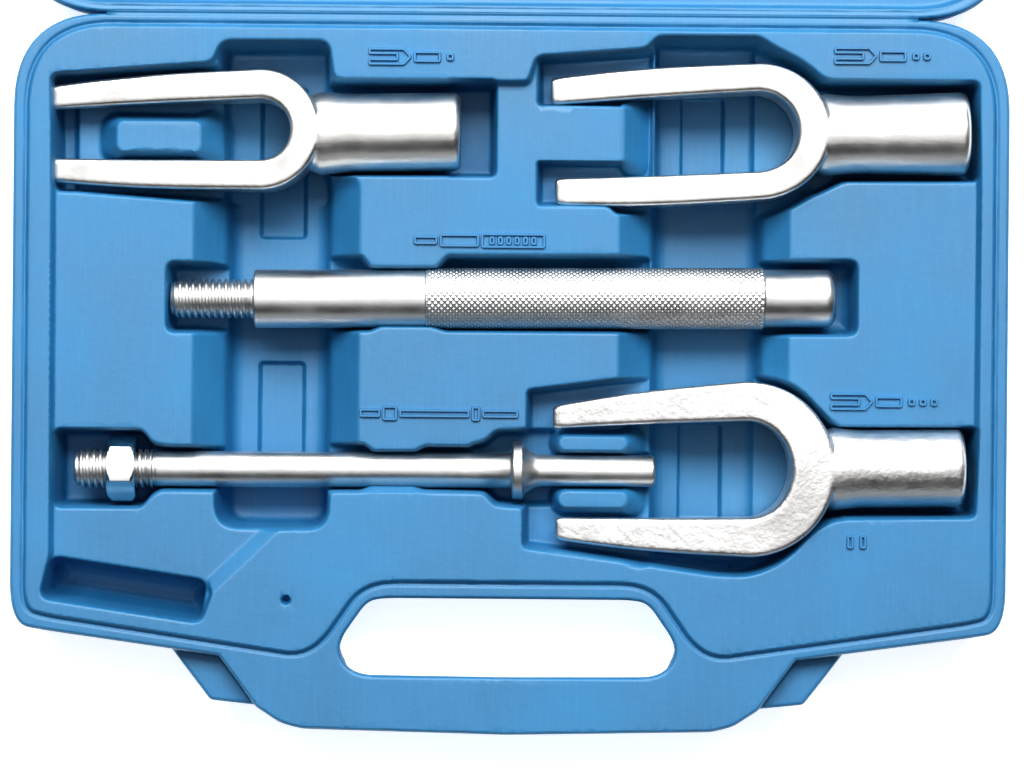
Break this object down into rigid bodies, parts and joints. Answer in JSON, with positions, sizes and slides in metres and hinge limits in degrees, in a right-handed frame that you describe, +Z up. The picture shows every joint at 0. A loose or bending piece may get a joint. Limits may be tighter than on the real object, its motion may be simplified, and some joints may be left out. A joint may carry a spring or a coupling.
{
  "type": "ball joint separator set",
  "caption": "Wedge fork set for parting ball joints, with a striking handle and an air hammer adapter, in a hinged moulded carry case.",
  "frame": {"origin": "centre of the tray's underside, on the surface that the open case lies on", "axes": "+X to the right along the hinge, +Y from the carry handle to the hinge and on over the open lid, +Z up out of the tray"},
  "size_m": [0.32, 0.4727, 0.0342],
  "materials": {
    "case_plastic": "blow moulded polyethylene, finely textured, satin",
    "latch_plastic": "injection moulded, satin",
    "pin_steel": "drawn wire, bright",
    "fork_plating": "forged steel, satin zinc plating",
    "handle_plating": "turned and knurled steel, satin zinc plating",
    "adapter_plating": "turned steel, satin zinc plating",
    "nut_plating": "cold formed steel, bright zinc plating"
  },
  "bodies": {
    "tray": {"case_tray": "case_plastic"},
    "lid": {"case_lid": "case_plastic", "latch_pin_left": "pin_steel", "latch_pin_right": "pin_steel"},
    "left_latch": {"latch_left": "latch_plastic"},
    "right_latch": {"latch_right": "latch_plastic"},
    "small_fork": {"fork_small": "fork_plating"},
    "medium_fork": {"fork_medium": "fork_plating"},
    "large_fork": {"fork_large": "fork_plating"},
    "handle": {"striking_handle": "handle_plating"},
    "adapter": {"air_hammer_adapter": "adapter_plating"},
    "nut": {"jam_nut": "nut_plating"}
  },
  "joints": [
    {"name": "lid_hinge", "type": "hinge", "parent": "tray", "child": "lid", "pos_m": [0, 0.116, 0.028], "axis": [-1, 0, 0], "range_deg": [-180, 0]},
    {"name": "left_latch_hinge", "type": "hinge", "parent": "lid", "child": "left_latch", "pos_m": [-0.09093, 0.33448, 0.024], "axis": [-0.9938, -0.1115, 0], "range_deg": [-95, 0]},
    {"name": "right_latch_hinge", "type": "hinge", "parent": "lid", "child": "right_latch", "pos_m": [0.09093, 0.33448, 0.024], "axis": [-0.9938, 0.1115, 0], "range_deg": [-95, 0]},
    {"name": "small_fork_lift", "type": "slide", "parent": "tray", "child": "small_fork", "axis": [0, 0, 1], "range_m": [0, 0.08]},
    {"name": "medium_fork_lift", "type": "slide", "parent": "tray", "child": "medium_fork", "axis": [0, 0, 1], "range_m": [0, 0.08]},
    {"name": "large_fork_lift", "type": "slide", "parent": "tray", "child": "large_fork", "axis": [0, 0, 1], "range_m": [0, 0.08]},
    {"name": "handle_lift", "type": "slide", "parent": "tray", "child": "handle", "axis": [0, 0, 1], "range_m": [0, 0.08]},
    {"name": "adapter_lift", "type": "slide", "parent": "tray", "child": "adapter", "axis": [0, 0, 1], "range_m": [0, 0.08]},
    {"name": "jam_nut_spin", "type": "hinge", "parent": "adapter", "child": "nut", "pos_m": [-0.1254, -0.031, 0.0195], "axis": [1, 0, 0], "continuous": true}
  ]
}
